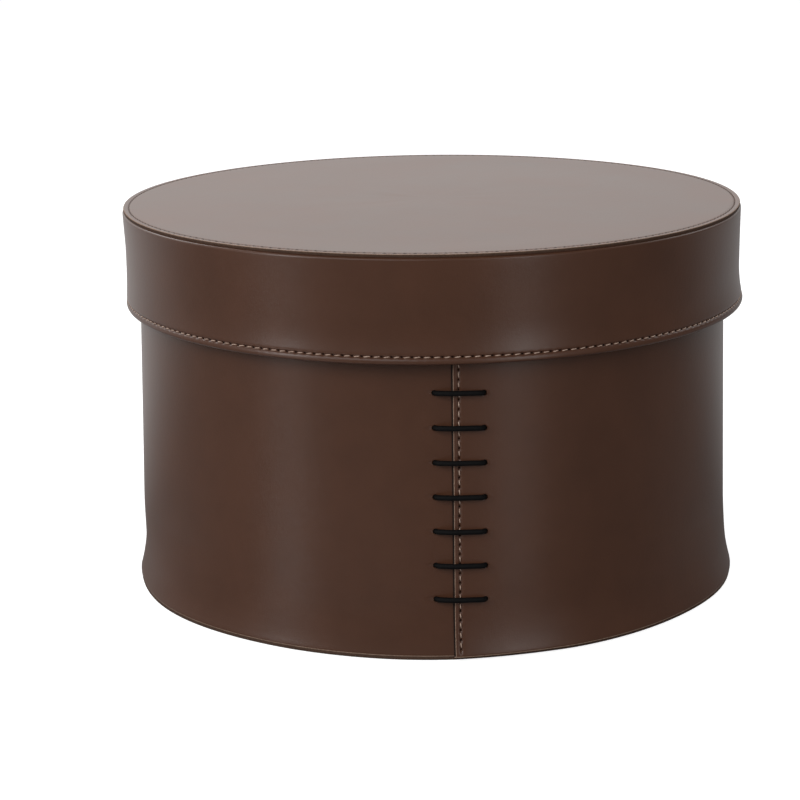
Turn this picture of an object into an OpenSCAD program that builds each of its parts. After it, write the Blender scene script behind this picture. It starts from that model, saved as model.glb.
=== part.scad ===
// Round leather collar box with a lift-off lid.
// The origin is the middle of the underside. Up is +Z, and the laced seam faces -Y.

/* [Overall] */
// Height from the ground to the top of the closed lid
box_h = 210; // [180:1:260]
// Outside diameter of the wall at its mouth
mouth_d = 325.6; // [280:0.1:380]

/* [Materials] */
// Thickness of the outer leather
leather_t = 2; // [1.6:0.1:2.6]
// Thickness of the fibreboard that stiffens the walls
board_t = 2; // [1.5:0.1:3]
// Thickness of the cloth lining
lining_t = 0.8; // [0.5:0.1:1.2]
// Thickness of the fibreboard in the floor
floor_board_t = 3; // [2:0.5:5]

/* [Wall and foot] */
// How much wider the wall is just above its foot than at its mouth
wall_spread = 9.2; // [4:0.1:14]
// Height over which the foot curves out, from the ground
flare_h = 27; // [20:1:40]
// How far the foot stands out beyond the line of the wall
foot_flare = 3.5; // [2:0.1:6]
// How far the sole's edge is set in from the foot
sole_inset = 0.5; // [0.2:0.1:1]

/* [Lapped seam] */
// Width of the overlap, from the visible cut edge to the hidden end
lap_w = 20; // [19:0.5:26]
// Distance of the stitch row from the visible cut edge
seam_stitch_inset = 2.4; // [2:0.1:4.5]

/* [Lace] */
// Number of lace bars across the seam
lace_rows = 7; // [3:2:9]
// Thickness of the lace
lace_d = 2.7; // [2:0.1:3]
// Diameter of the punched lace holes
lace_hole_d = 3.8; // [3.6:0.1:4.4]
// Distance of the left holes from the visible cut edge
lace_left = 9.5; // [8:0.1:14]
// Distance of the right holes from the visible cut edge
lace_right = 15; // [13:0.1:16.5]
// Depth of the top lace below the lid's hem
lace_top_gap = 16.4; // [10:0.1:25]
// Height of the bottom lace above the ground
lace_foot_gap = 31.5; // [29:0.1:45]
// How far the middle of each lace bar stands above its ends
lace_rise = 0.5; // [0:0.1:0.8]

/* [Lid] */
// Height of the lid's rim, from its hem to the turned shoulder
rim_h = 53; // [40:1:70]
// Gap all round between the lapped wall and the lid's lining
lid_clear = 1.6; // [0.4:0.1:2.4]
// Thickness of the fibreboard in the rim
rim_board_t = 1.3; // [1:0.1:3]
// How far the hem stands out beyond the rim
hem_flare = 2.77; // [1.5:0.01:6]
// Height over which the hem curves out
hem_flare_h = 23; // [18:1:32]
// Height of the edge that is turned up inside the hem
hem_turn_h = 12; // [8:0.5:16]
// Thickness of the skived edge turned up inside the hem
hem_skive_t = 1.2; // [0.8:0.1:1.6]
// Bend radius of the rim's shoulder
shoulder_r = 1.5; // [1:0.1:3.5]
// Width of the rim's edge that is turned in under the top
flange_w = 14; // [11:0.5:20]
// How far the top's cut edge is set in from the shoulder
top_inset = 0.6; // [0.4:0.1:2.5]
// Width of the slit where the rim's ends meet at the back
rim_slit = 0.4; // [0.2:0.1:0.8]

/* [Stitching] */
// Distance from one stitch to the next
stitch_pitch = 5; // [4:0.1:7]
// Length of the part of a stitch that shows
stitch_len = 3; // [2.5:0.1:3.8]
// Thickness of the waxed thread
thread_d = 0.75; // [0.7:0.05:1.1]
// Distance of the top's stitch row from its cut edge
top_stitch_inset = 3; // [2:0.1:5]
// Height of the hem's stitch row above the hem
hem_stitch_h = 4; // [3:0.1:5]

/* [Hidden] */

$fn = 180;
SADDLE = "#4b352c";
SADDLE_TOP = "#5a4238";
FIBRE = "#8a7458";
CLOTH = "#2d2724";
TAN = "#b49a80";
BLACK = "#161413";

// Clearances: between lid and mouth, in the glue lines of the lap and of the layers,
// and round the discs of the floor and the top
seat_gap = 0.3;
lap_glue = 0.1;
layer_glue = 0.1;
fit_gap = 0.1;
// Depth and width of the groove that a stitch row lies in
groove_depth = 0.75;
groove_w = thread_d + 0.3;
// Small overrun of cutters past the faces that they cut
over = 1;

// Heights, from the ground up
sole_top = leather_t;
floor_top = sole_top + floor_board_t;
flange_top = box_h - leather_t;
flange_under = flange_top - leather_t;
top_lining_under = flange_under - lining_t;
mouth_z = top_lining_under - seat_gap;
hem_z = flange_top - rim_h;
turn_z = hem_z + hem_turn_h;
hem_flare_top = hem_z + hem_flare_h;

// Wall: outside radius at a height, on the straight line and with the foot's curve
mouth_r = mouth_d / 2;
wall_slope = wall_spread / 2 / (mouth_z - sole_top);
function wall_line(z) = mouth_r + wall_slope * (mouth_z - z);
function foot_share(z) = max(0, flare_h - z) / (flare_h - sole_top);
function wall_r(z) = wall_line(z) + foot_flare * pow(foot_share(z), 2);
foot_r = wall_r(sole_top);
board_out = leather_t + layer_glue;
board_in = board_out + board_t;
lining_out = board_in + layer_glue;
wall_total = lining_out + lining_t;

// Angles round the wall, counted from -Y towards +X, for distances along it
ref_r = mouth_r + wall_spread / 4;
arc_deg = 180 / PI / ref_r;
function bearing(s) = s * arc_deg;

// Lap: from the right side to the seam the strip bends about an axis shifted to the left,
// on a radius longer by the same shift, so it eases outwards until it clears the hidden end
hidden_end = bearing(lap_w);
lap_shift = ceil(10 * (leather_t + lap_glue) / (1 - sin(hidden_end))) / 10;
edge_turn = asin(lap_shift / ref_r);
function flap_lift(s) = lap_shift * (1 - sin(bearing(s)));

// Lid: the rim's radii, from the wall that it slides over
lid_in_r = wall_line(hem_z) + lap_shift + lid_clear;
rim_board_in = lid_in_r + lining_t + layer_glue;
rim_board_out = rim_board_in + rim_board_t;
rim_r = rim_board_out + layer_glue + leather_t;
hem_t = leather_t + hem_skive_t;
fold_r = hem_t / 2;
hem_side_z = hem_z + fold_r;
function hem_share(z) = max(0, hem_flare_top - z) / (hem_flare_top - hem_side_z);
function rim_out(z) = rim_r + hem_flare * pow(hem_share(z), 2);
flange_in = rim_r - flange_w;
top_r = rim_r - top_inset;
top_edge_round = 0.6;

// Stitch rows
top_stitch_r = top_r - top_stitch_inset;
hem_stitch_z = hem_z + hem_stitch_h;
thread_sink = groove_depth - thread_d / 2;
seam_thread_low = 6;
seam_thread_high = 5;
rim_seam_margin = 8;

// Lace rows
lace_step = (hem_z - lace_top_gap - lace_foot_gap) / (lace_rows - 1);
function lace_z(i) = hem_z - lace_top_gap - i * lace_step;

// A point on the box: distance along the wall from the seam's edge, height off the wall, height
function on_wall(s, h, z) =
    let (a = bearing(s), r = wall_r(z) + h) [r * sin(a), -r * cos(a), z];

// Profile of one layer of the wall, lying between two depths below the outer face
FLARE_STEPS = 9;
function flare_heights() = [for (i = [0:FLARE_STEPS]) sole_top + (flare_h - sole_top) * i / FLARE_STEPS];
function layer_side(depth, out) = [for (z = flare_heights()) [wall_r(z) + out - depth, z]];
function reversed(v) = [for (i = [len(v) - 1:-1:0]) v[i]];
function leather_profile(out = 0) = concat(
    layer_side(0, out), [[mouth_r + out, mouth_z], [mouth_r + out - leather_t, mouth_z]],
    reversed(layer_side(leather_t, out)));
function straight_profile(near, far, low) = [
    [wall_line(low) - near, low], [mouth_r - near, mouth_z],
    [mouth_r - far, mouth_z], [wall_line(low) - far, low]];

module lace_holes() {
    for (i = [0:lace_rows - 1], s = [-lace_left, lace_right])
        rotate([0, 0, bearing(s)]) translate([0, -wall_r(lace_z(i)) - 3 * over, lace_z(i)])
            rotate([-90, 0, 0]) cylinder(h = wall_total + 6 * over, d = lace_hole_d, $fn = 32);
}

// Groove for the seam's stitches, cut into the flap's outer face about the flap's own axis
module seam_groove() {
    half = bearing(groove_w / 2);
    outer = layer_side(-over, lap_shift);
    inner = layer_side(groove_depth, lap_shift);
    top = [[mouth_r + lap_shift + over, mouth_z + over], [mouth_r + lap_shift - groove_depth, mouth_z + over]];
    low = [[foot_r + lap_shift - groove_depth, sole_top - over], [foot_r + lap_shift + over, sole_top - over]];
    translate([-lap_shift, 0, 0]) rotate([0, 0, edge_turn + bearing(seam_stitch_inset) - half - 90])
        rotate_extrude(angle = 2 * half) polygon(concat(outer, top, reversed(inner), low));
}

module sole_leather() color(SADDLE)
    cylinder(h = leather_t, r = foot_r - sole_inset);

module floor_board() color(FIBRE)
    translate([0, 0, sole_top])
        cylinder(h = floor_board_t, r = wall_r(floor_top) - leather_t - fit_gap);

module floor_lining() color(CLOTH)
    translate([0, 0, floor_top])
        cylinder(h = lining_t, r = wall_line(floor_top) - board_in - fit_gap);

// One long strip whose right end laps over its left end
module wall_leather() color(SADDLE)
    difference() {
        union() {
            rotate_extrude(angle = 270 + hidden_end) polygon(leather_profile());
            translate([-lap_shift, 0, 0]) mirror([0, 1, 0])
                rotate_extrude(angle = 90 - edge_turn) polygon(leather_profile(lap_shift));
        }
        lace_holes();
        seam_groove();
    }

module wall_board() color(FIBRE)
    difference() {
        rotate_extrude() polygon(straight_profile(board_out, board_in, floor_top));
        lace_holes();
    }

module wall_lining() color(CLOTH)
    difference() {
        rotate_extrude() polygon(straight_profile(lining_out, wall_total, floor_top + lining_t));
        lace_holes();
    }

// Stitches of the lapped seam, each a short length of thread lying in the groove
module seam_thread() color(TAN) {
    run = mouth_z - seam_thread_high - sole_top - seam_thread_low;
    count = floor(run / stitch_pitch);
    for (i = [0:count]) {
        z = sole_top + seam_thread_low + i * stitch_pitch;
        low_r = wall_r(z - stitch_len / 2);
        high_r = wall_r(z + stitch_len / 2);
        rotate([0, 0, bearing(seam_stitch_inset)])
            translate([0, -(low_r + high_r) / 2 - flap_lift(seam_stitch_inset) + thread_sink, z])
            rotate([-atan2(low_r - high_r, stitch_len), 0, 0])
            cylinder(h = stitch_len, d = thread_d, center = true, $fn = 16);
    }
}

// Lace: its route as [distance along the wall, height off the wall, height, thickness]
lace_r = lace_d / 2;
inside_h = -wall_total - lace_r - 0.1;
flap_h = lap_shift + lace_r + 0.35;
right_h = flap_lift(lace_right);
function risen(s) =
    let (u = (2 * s + lace_left - lace_right) / (lace_left + lace_right)) lace_rise * (1 - u * u);
function bar(z) = [
    for (p = [[-lace_left, -0.6], [-lace_left + 0.7, 0.95], [-lace_left + 2.2, 2.1],
              [-lace_left + 4.6, 3], [-2, flap_h - 0.15], [0.6, flap_h], [5, flap_h + 0.1],
              [lace_right - 4, flap_h], [lace_right - 2.4, flap_h - 0.15],
              [lace_right - 1.1, right_h + 1.2], [lace_right - 0.15, right_h - 0.2]])
        [p[0], p[1], z + risen(p[0]), lace_r]];
function through(s, z, up) = [
    [s, -wall_total + 1.2, z, lace_r], [s, inside_h + 0.9, z + up * 0.25, lace_r],
    [s, inside_h + 0.15, z + up * 1.1, lace_r], [s, inside_h, z + up * 2.4, lace_r]];
function knot(s, z, up) = [
    for (p = [[3.6, 0.1, 1], [5, 0.8, 1], [5.6, 1.4, 1.75], [7.2, 1.5, 2.05], [8.8, 1.4, 1.75],
              [9.4, 0.8, 1], [12, 0.4, 1], [15, 0.6, 0.95]])
        [s, inside_h - p[1], z + up * p[0], lace_r * p[2]]];
// The lace comes down to each row from above, and crosses it one way and then the other
function rightwards(i) = i % 2 == 0;
function one_bar(i) = let (z = lace_z(i))
    rightwards(i)
        ? concat(reversed(through(-lace_left, z, 1)), bar(z), through(lace_right, z, -1))
        : concat(reversed(through(lace_right, z, 1)), reversed(bar(z)), through(-lace_left, z, -1));
lace_route = concat(
    reversed(knot(-lace_left, lace_z(0), 1)),
    [for (i = [0:lace_rows - 1]) each one_bar(i)],
    knot(rightwards(lace_rows - 1) ? lace_right : -lace_left, lace_z(lace_rows - 1), -1));

function unit(v) = v / norm(v);
function carried(u, t) = unit(u - (u * t) * t);
function directions(pts) = [for (i = [0:len(pts) - 1])
    unit(pts[min(i + 1, len(pts) - 1)] - pts[max(i - 1, 0)])];
function side_axes(ts) = [for (i = 0, u = carried([1, 0, 0], ts[0]); i < len(ts);
    i = i + 1, u = carried(u, ts[min(i, len(ts) - 1)])) u];

LACE_SIDES = 8;
module lace() color(BLACK) {
    pts = [for (p = lace_route) on_wall(p[0], p[1], p[2])];
    ts = directions(pts);
    us = side_axes(ts);
    rings = [for (i = [0:len(pts) - 1], k = [0:LACE_SIDES - 1])
        let (a = 360 * k / LACE_SIDES, v = cross(ts[i], us[i]))
            pts[i] + lace_route[i][3] * (cos(a) * us[i] + sin(a) * v)];
    last = (len(pts) - 1) * LACE_SIDES;
    sides = [for (i = [0:len(pts) - 2], k = [0:LACE_SIDES - 1])
        let (a = i * LACE_SIDES + k, b = i * LACE_SIDES + (k + 1) % LACE_SIDES)
            each [[a, b + LACE_SIDES, b], [a, a + LACE_SIDES, b + LACE_SIDES]]];
    near_cap = [for (k = [1:LACE_SIDES - 2]) [0, k, k + 1]];
    far_cap = [for (k = [1:LACE_SIDES - 2]) [last, last + k + 1, last + k]];
    polyhedron(rings, concat(sides, near_cap, far_cap));
}

// Profile of the rim's leather: flange, shoulder, flared side, folded hem and turned edge
ARC_STEPS = 6;
function arc_points(cr, cz, r, from, to) = [for (i = [0:ARC_STEPS])
    let (a = from + (to - from) * i / ARC_STEPS) [cr + r * cos(a), cz + r * sin(a)]];
function hem_heights(low, high) = [for (i = [0:FLARE_STEPS]) high + (low - high) * i / FLARE_STEPS];
function rim_profile() = concat(
    [[flange_in, flange_under], [flange_in, flange_top]],
    arc_points(rim_r - shoulder_r, flange_top - shoulder_r, shoulder_r, 90, 0),
    [for (z = hem_heights(hem_side_z, hem_flare_top)) [rim_out(z), z]],
    arc_points(rim_out(hem_side_z) - fold_r, hem_side_z, fold_r, -20, -180),
    [for (z = reversed(hem_heights(hem_side_z + 1, turn_z))) [rim_out(z) - hem_t, z]],
    [[rim_out(turn_z) - leather_t, turn_z], [rim_r - leather_t, hem_flare_top],
     [rim_r - leather_t, flange_under]]);

module rim_leather() color(SADDLE)
    rotate([0, 0, 90 + rim_slit / 2 / rim_r * 180 / PI])
        rotate_extrude(angle = 360 - rim_slit / rim_r * 180 / PI)
        difference() {
            polygon(rim_profile());
            translate([rim_out(hem_stitch_z) - groove_depth, hem_stitch_z - groove_w / 2])
                square([groove_depth + over, groove_w]);
        }

module rim_board() color(FIBRE)
    translate([0, 0, turn_z + fit_gap])
        difference() {
            cylinder(h = flange_under - turn_z - fit_gap, r = rim_board_out);
            translate([0, 0, -over]) cylinder(h = rim_h, r = rim_board_in);
        }

module rim_lining() color(CLOTH)
    translate([0, 0, turn_z])
        difference() {
            cylinder(h = top_lining_under - turn_z, r = lid_in_r + lining_t);
            translate([0, 0, -over]) cylinder(h = rim_h, r = lid_in_r);
        }

module top_leather() color(SADDLE_TOP)
    rotate_extrude() difference() {
        polygon([[0, flange_top], [top_r, flange_top], [top_r, box_h - top_edge_round],
                 [top_r - top_edge_round * 0.3, box_h - top_edge_round * 0.3],
                 [top_r - top_edge_round, box_h], [0, box_h]]);
        translate([top_stitch_r - groove_w / 2, box_h - groove_depth]) square([groove_w, groove_depth + over]);
    }

// Fills the space inside the turned-in flange, level with it
module top_board() color(FIBRE)
    translate([0, 0, flange_under]) cylinder(h = leather_t, r = flange_in - fit_gap);

module top_lining() color(CLOTH)
    translate([0, 0, top_lining_under]) cylinder(h = lining_t, r = rim_board_in - fit_gap);

// A ring of stitches, each an arc of thread lying in a groove
module stitch_ring(r, z) {
    count = round(2 * PI * r / stitch_pitch);
    for (i = [0:count - 1])
        rotate([0, 0, 360 * i / count - 90]) rotate_extrude(angle = stitch_len / r * 180 / PI)
            translate([r, z]) circle(d = thread_d, $fn = 16);
}

module top_thread() color(TAN)
    stitch_ring(top_stitch_r, box_h - thread_sink);

module hem_thread() color(TAN)
    stitch_ring(rim_out(hem_stitch_z) - thread_sink, hem_stitch_z);

// Cross stitches that hold the rim's ends together at the back
module rim_seam_thread() color(TAN) {
    low = hem_stitch_z + rim_seam_margin;
    high = flange_top - shoulder_r - thread_d;
    for (z = [low:stitch_pitch:high]) {
        r = rim_out(z) + thread_d / 2 + 0.05;
        half = stitch_pitch / 2 / r * 180 / PI;
        rotate([0, 0, 90 - half]) rotate_extrude(angle = 2 * half)
            translate([r, z]) circle(d = thread_d, $fn = 16);
    }
}

sole_leather();
floor_board();
floor_lining();
wall_leather();
wall_board();
wall_lining();
seam_thread();
lace();
rim_leather();
rim_board();
rim_lining();
top_leather();
top_board();
top_lining();
top_thread();
hem_thread();
rim_seam_thread();
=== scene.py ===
"""Looks of a round leather collar box with a lift-off lid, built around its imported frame."""
import math
import random

import bpy
import numpy as np
from mathutils import Matrix, Vector


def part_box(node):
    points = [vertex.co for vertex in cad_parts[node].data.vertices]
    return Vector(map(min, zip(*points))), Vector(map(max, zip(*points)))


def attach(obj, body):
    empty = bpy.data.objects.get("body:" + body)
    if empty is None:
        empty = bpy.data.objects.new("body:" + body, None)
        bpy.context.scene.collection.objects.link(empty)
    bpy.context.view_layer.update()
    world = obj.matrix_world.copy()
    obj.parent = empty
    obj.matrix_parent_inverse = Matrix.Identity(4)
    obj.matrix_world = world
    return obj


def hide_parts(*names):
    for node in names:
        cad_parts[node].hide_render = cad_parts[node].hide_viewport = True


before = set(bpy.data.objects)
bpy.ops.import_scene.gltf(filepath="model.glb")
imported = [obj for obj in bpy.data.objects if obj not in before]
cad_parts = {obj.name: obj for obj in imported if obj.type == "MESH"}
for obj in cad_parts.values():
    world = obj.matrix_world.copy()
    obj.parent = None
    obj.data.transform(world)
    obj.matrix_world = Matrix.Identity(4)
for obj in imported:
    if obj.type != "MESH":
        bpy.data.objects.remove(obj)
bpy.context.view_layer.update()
bpy.context.scene.view_settings.view_transform = "Standard"

MM = 0.001
RNG = random.Random(7)

# Heights and radii that the frame gives
SOLE_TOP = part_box("wall_leather")[0].z
MOUTH_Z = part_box("wall_leather")[1].z
HEM_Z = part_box("rim_leather")[0].z
HEM_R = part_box("rim_leather")[1].x
FLANGE_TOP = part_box("rim_leather")[1].z
TOP_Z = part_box("top_leather")[1].z
TOP_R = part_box("top_leather")[1].x
RIM_BOARD_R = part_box("rim_board")[1].x

# Leather and its lapped seam
LEATHER_T = 2 * MM
BOARD_T = 2 * MM
LINING_T = 0.8 * MM
GLUE = 0.1 * MM
WALL_T = LEATHER_T + BOARD_T + LINING_T + 2 * GLUE
MOUTH_R = 162.8 * MM
WALL_SPREAD = 4.6 * MM
FLARE_H = 27 * MM
FOOT_FLARE = 3.5 * MM
LAP_W = 20 * MM
LAP_SHIFT = 2.4 * MM
CUT_REACH = 0.4 * MM
CUT_BEVEL = 0.7 * MM
SEAM_ROW = 2.4 * MM
REF_R = MOUTH_R + WALL_SPREAD / 2

# Rim of the lid
RIM_R = RIM_BOARD_R + GLUE + LEATHER_T
SHOULDER_R = 1.5 * MM
FLANGE_W = 14 * MM
HEM_T = 3.2 * MM
FOLD_R = HEM_T / 2
HEM_SIDE_Z = HEM_Z + FOLD_R
HEM_FLARE_TOP = HEM_Z + 23 * MM
HEM_TURN_Z = HEM_Z + 12 * MM
HEM_ROW_Z = HEM_Z + 4 * MM
TOP_ROW_R = TOP_R - 3 * MM
HEM_FLARE = HEM_R - RIM_R
RIM_SLIT = 0.05 * MM
RIM_BEVEL = 0.4 * MM
RIM_BEVEL_DEPTH = 0.3 * MM
RIM_SKIVE = 0.35 * MM
# Least angle between the ends' columns and the next one, in radians
END_GAP_TURN = 0.0015
TOP_ROUNDING = 0.35 * MM

# Stitching and lace
STITCH_PITCH = 5 * MM
STITCH_LEN = 3 * MM
STITCH_SLANT = 7
THREAD_R = 0.375 * MM
THREAD_SINK = 0.25 * MM
HEM_THREAD_SINK = 0.33 * MM
CHANNEL_DEPTH = 0.5 * MM
PIT_DEPTH = 0.9 * MM
TOP_THREAD_SINK = 0.45 * MM
TOP_DENT = 0.4
TOP_FACE_Z = TOP_Z - 0.25 * MM
SEAM_LOW_Z = SOLE_TOP + 6 * MM
SEAM_STITCHES = 39
FIRST_HOLE_Z = SEAM_LOW_Z - STITCH_PITCH / 2
LAST_HOLE_Z = FIRST_HOLE_Z + (SEAM_STITCHES + 0.4) * STITCH_PITCH
HEM_STITCHES = 219
TOP_STITCHES = 212
LACE_ROWS = 7
LACE_R = 1.35 * MM
LACE_LEFT = 9.5 * MM
LACE_RIGHT = 15 * MM
LACE_TOP_Z = HEM_Z - 16.4 * MM
LACE_FOOT_Z = 31.5 * MM
LACE_RISE = 0.6 * MM

# Unevenness of hand-formed leather
WALL_WAVE = 0.45 * MM
SEAM_STEADY = 22 * MM
SEAM_FADE = 40 * MM
FOOT_PULL = 1.5 * MM
FOOT_PULL_TOP = SOLE_TOP + 42 * MM
FOOT_FLAT = 1 * MM
FOOT_FLAT_W = 62 * MM
# Places where the foot stands out, by angle, width in degrees and height
FOOT_BULGES = ((-152, 18, 2.4 * MM), (-25, 14, 1.7 * MM))
RIM_WAVE = 0.35 * MM
RIM_EASE = 20 * MM
TOP_WAVE = 0.3 * MM
TOP_PULL = 0.7 * MM
RIM_PULL = 0.7 * MM
HEM_PULL = 2 * MM
HEM_PULL_RIGHT = 0.5 * MM

# Levels of the light
WORLD_DIFFUSE = 0.45
BRIGHT_SIDE = (-0.42, 0.91, 0)
SHINE_IN_FRONT = 0.15
SHINE_BEHIND = 1.0
FLOOR_GREY = 0.55
FLOOR_BOUNCE = 0.2
FLOOR_GLOW = 0.76
FLOOR_SATIN = 0.3
FLOOR_SHINE_LEFT = 0.55
FLOOR_SHINE_RIGHT = 0.3


# Colour and material helpers

def srgb(code):
    """A hex colour as the linear numbers that a shader takes."""
    parts = [int(code[i:i + 2], 16) / 255 for i in (1, 3, 5)]
    return [c / 12.92 if c <= 0.04045 else ((c + 0.055) / 1.055) ** 2.4 for c in parts] + [1.0]


def add(tree, kind, settings=None, links=None):
    """Adds a node, with its settings by attribute or socket and its links from other nodes' sockets."""
    node = tree.nodes.new(kind)
    for key, value in (settings or {}).items():
        if isinstance(key, str) and hasattr(node, key):
            setattr(node, key, value)
        else:
            node.inputs[key].default_value = value
    for key, source in (links or {}).items():
        tree.links.new(source, node.inputs[key])
    return node


def new_material(name):
    material = bpy.data.materials.new(name)
    material.use_nodes = True
    tree = material.node_tree
    tree.nodes.clear()
    shader = tree.nodes.new("ShaderNodeBsdfPrincipled")
    output = tree.nodes.new("ShaderNodeOutputMaterial")
    tree.links.new(shader.outputs["BSDF"], output.inputs["Surface"])
    return material, tree, shader


def colour_by(tree, shader, pattern, dark, light, low=0.0, high=1.0):
    """Colours a material from dark to light where its pattern goes from low to high."""
    colour = add(tree, "ShaderNodeValToRGB", None, {"Fac": pattern})
    first, last = colour.color_ramp.elements
    first.position, first.color = low, srgb(dark)
    last.position, last.color = high, srgb(light)
    tree.links.new(colour.outputs["Color"], shader.inputs["Base Color"])


def raise_by(tree, shader, pattern, strength, distance):
    """Gives a material the fine relief of a pattern."""
    bump = add(tree, "ShaderNodeBump", {"Strength": strength, "Distance": distance}, {"Height": pattern})
    tree.links.new(bump.outputs["Normal"], shader.inputs["Normal"])


def leather_material(name, dark, light, rough_low, rough_high, ior):
    """Full-grain cowhide, drum-dyed and waxed: an even brown with soft clouds and fine pores."""
    material, tree, shader = new_material(name)
    place = add(tree, "ShaderNodeTexCoord").outputs["Object"]
    clouds = add(tree, "ShaderNodeTexNoise", {"Scale": 14.0, "Detail": 4.0, "Roughness": 0.55},
                 {"Vector": place})
    blotches = add(tree, "ShaderNodeTexNoise", {"Scale": 55.0, "Detail": 3.0, "Roughness": 0.6},
                   {"Vector": place})
    both = add(tree, "ShaderNodeMix", {"data_type": "FLOAT", 0: 0.35},
               {2: clouds.outputs["Fac"], 3: blotches.outputs["Fac"]})
    colour_by(tree, shader, both.outputs[0], dark, light, 0.35, 0.65)
    rough = add(tree, "ShaderNodeMapRange", {"To Min": rough_low, "To Max": rough_high},
                {"Value": both.outputs[0]})
    tree.links.new(rough.outputs["Result"], shader.inputs["Roughness"])
    # Pores 0.8 mm apart, drawn a little coarser than real ones so that they show
    pores = add(tree, "ShaderNodeTexVoronoi", {"Scale": 1250.0, "Randomness": 1.0}, {"Vector": place})
    grain = add(tree, "ShaderNodeTexNoise", {"Scale": 420.0, "Detail": 5.0, "Roughness": 0.6},
                {"Vector": place})
    fine = add(tree, "ShaderNodeBump", {"Strength": 0.25, "Distance": 0.00005},
               {"Height": pores.outputs["Distance"]})
    broad = add(tree, "ShaderNodeBump", {"Strength": 0.3, "Distance": 0.00012},
                {"Height": grain.outputs["Fac"], "Normal": fine.outputs["Normal"]})
    tree.links.new(broad.outputs["Normal"], shader.inputs["Normal"])
    shader.inputs["IOR"].default_value = ior
    return material


def edge_material(name, dark, light):
    """Cut edge of the hide, burnished or rubbed pale, also used for the painted highlight on corners and the
    painted shade in stitch holes: duller than the face, with fibres across it.
    """
    material, tree, shader = new_material(name)
    place = add(tree, "ShaderNodeTexCoord").outputs["Object"]
    fibres = add(tree, "ShaderNodeTexNoise", {"Scale": 900.0, "Detail": 4.0, "Roughness": 0.7},
                 {"Vector": place})
    colour_by(tree, shader, fibres.outputs["Fac"], dark, light, 0.3, 0.7)
    shader.inputs["Roughness"].default_value = 0.8
    shader.inputs["IOR"].default_value = 1.3
    raise_by(tree, shader, fibres.outputs["Fac"], 0.4, 0.0001)
    return material


def fibreboard_material():
    """Pressed fibreboard: a dull dark brown felt of short fibres in flat layers."""
    material, tree, shader = new_material("pressed_fibreboard")
    place = add(tree, "ShaderNodeTexCoord").outputs["Object"]
    felt = add(tree, "ShaderNodeTexNoise", {"Scale": 700.0, "Detail": 6.0, "Roughness": 0.7},
               {"Vector": place})
    colour_by(tree, shader, felt.outputs["Fac"], "#43342a", "#604c3c", 0.35, 0.7)
    shader.inputs["Roughness"].default_value = 0.9
    raise_by(tree, shader, felt.outputs["Fac"], 0.5, 0.00015)
    return material


def lining_material():
    """Brushed cotton lining: a soft matt nap with a faint pale sheen and slightly uneven dye."""
    material, tree, shader = new_material("brushed_cotton_lining")
    place = add(tree, "ShaderNodeTexCoord").outputs["Object"]
    nap = add(tree, "ShaderNodeTexNoise", {"Scale": 60.0, "Detail": 8.0, "Roughness": 0.75},
              {"Vector": place})
    colour_by(tree, shader, nap.outputs["Fac"], "#2c211c", "#453429", 0.3, 0.7)
    shader.inputs["Roughness"].default_value = 0.95
    shader.inputs["Sheen Weight"].default_value = 0.35
    shader.inputs["Sheen Roughness"].default_value = 0.5
    weave = add(tree, "ShaderNodeTexNoise", {"Scale": 1600.0, "Detail": 3.0}, {"Vector": place})
    raise_by(tree, shader, weave.outputs["Fac"], 0.5, 0.0001)
    return material


def thread_material(name, dark, light):
    """Waxed linen thread: a dull waxy shine over plies that differ a little in tone."""
    material, tree, shader = new_material(name)
    place = add(tree, "ShaderNodeTexCoord").outputs["Object"]
    ply = add(tree, "ShaderNodeTexNoise", {"Scale": 1500.0, "Detail": 2.0}, {"Vector": place})
    colour_by(tree, shader, ply.outputs["Fac"], dark, light, 0.35, 0.65)
    shader.inputs["Roughness"].default_value = 0.55
    raise_by(tree, shader, ply.outputs["Fac"], 0.5, 0.0001)
    return material


def lace_material():
    """Black waxed cotton lace: near black, its braid's hollows painted darker as painted shade and its crowns
    a little lighter as a faint painted sheen.
    """
    material, tree, shader = new_material("black_waxed_lace")
    place = add(tree, "ShaderNodeTexCoord").outputs["Object"]
    braid = add(tree, "ShaderNodeTexNoise", {"Scale": 700.0, "Detail": 3.0}, {"Vector": place})
    colour_by(tree, shader, braid.outputs["Fac"], "#060606", "#0f0e0f")
    shader.inputs["Roughness"].default_value = 0.7
    shader.inputs["IOR"].default_value = 1.2
    raise_by(tree, shader, braid.outputs["Fac"], 0.6, 0.0002)
    return material


LEATHER = leather_material("brown_saddle_leather", "#452b1e", "#4b2f21", 0.29, 0.35, 1.38)
# The lid's top leather is the body's brown painted lighter: painted light where the top catches sheen and
# light from above
LEATHER_TOP_PAINTED_LIGHTER = leather_material("brown_lid_leather_painted_lighter", "#573b2b", "#603f2e", 0.3, 0.35, 1.45)
SOLE = leather_material("plain_sole_leather", "#4d372c", "#5f463a", 0.5, 0.6, 1.4)
EDGE = edge_material("burnished_cut_edge", "#37261d", "#4d392d")
# Pale corner colour: partly rubbed wear, partly a painted highlight where rounded corners catch the light
WORN_EDGE_WITH_HIGHLIGHT = edge_material("worn_corner_painted_highlight", "#6e584b", "#9d8573")
# Near black painted shade for stitch holes and for the gap beside the seam's cut
PAINTED_HOLE_SHADE = edge_material("stitch_hole_painted_shade", "#140c08", "#20140f")
FIBREBOARD = fibreboard_material()
LINING = lining_material()
THREAD = thread_material("tan_linen_thread", "#8a7264", "#b39b8b")
# The top row's thread is the tan thread painted dark: painted shade, as it is seen against the light
TOP_THREAD_PAINTED_SHADE = thread_material("linen_thread_painted_shade", "#33251d", "#4d3a30")
LACE = lace_material()


# Modelling helpers

def deselect():
    if bpy.context.mode != "OBJECT":
        bpy.ops.object.mode_set(mode="OBJECT")
    bpy.ops.object.select_all(action="DESELECT")


def pick(obj):
    deselect()
    obj.select_set(True)
    bpy.context.view_layer.objects.active = obj


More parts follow.
